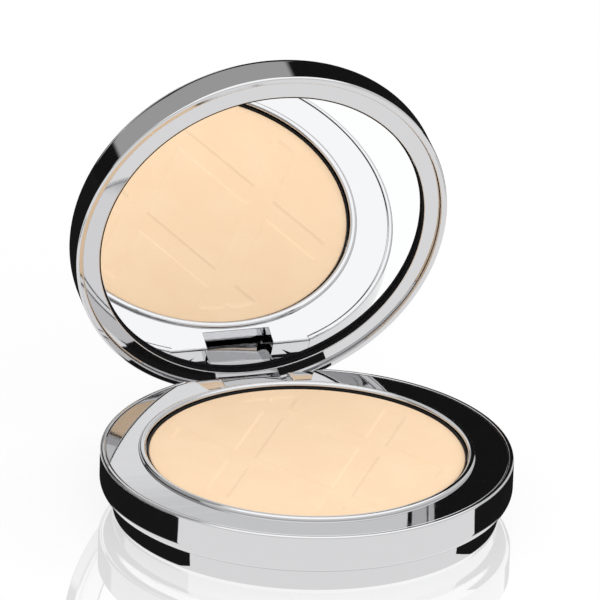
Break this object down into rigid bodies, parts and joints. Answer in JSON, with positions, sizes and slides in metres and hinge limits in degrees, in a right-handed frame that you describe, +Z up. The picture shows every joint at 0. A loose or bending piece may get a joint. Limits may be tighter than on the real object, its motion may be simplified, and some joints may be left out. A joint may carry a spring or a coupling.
{
  "type": "powder compact",
  "caption": "Round two-tier mirror compact with a pressed powder pan, a raised well bead and a thin mirrored lid on a rear friction hinge.",
  "frame": {"origin": "centre of the face that the compact stands on", "axes": "+Z up, away from the table; the hinge axis runs along X at the rear, which is +Y; the lid opens from the front, which is -Y"},
  "size_m": [0.075, 0.0837, 0.076],
  "materials": {
    "plated_case": "polished",
    "pan_alloy": "satin",
    "powder": "matte",
    "adhesive": "matte",
    "steel": "satin",
    "magnet": "polished",
    "label": "satin",
    "mirror": "polished",
    "foam_tape": "matte"
  },
  "bodies": {
    "base": {"base_foot": "plated_case", "base_shell": "plated_case", "base_deck": "plated_case", "well_ring": "plated_case", "powder_pan": "pan_alloy", "powder_cake": "powder", "pan_adhesive": "adhesive", "weight_plate": "steel", "base_magnet": "magnet", "hinge_pin": "steel", "bottom_label": "label"},
    "lid": {"lid_shell": "plated_case", "lid_frame": "plated_case", "mirror_glass": "mirror", "mirror_tape": "foam_tape", "lid_magnet": "magnet"}
  },
  "joints": [
    {"name": "lid_hinge", "type": "hinge", "parent": "base", "child": "lid", "pos_m": [0, 0.03385, 0.0062], "axis": [-1, 0, 0], "range_deg": [-77, 33]}
  ]
}
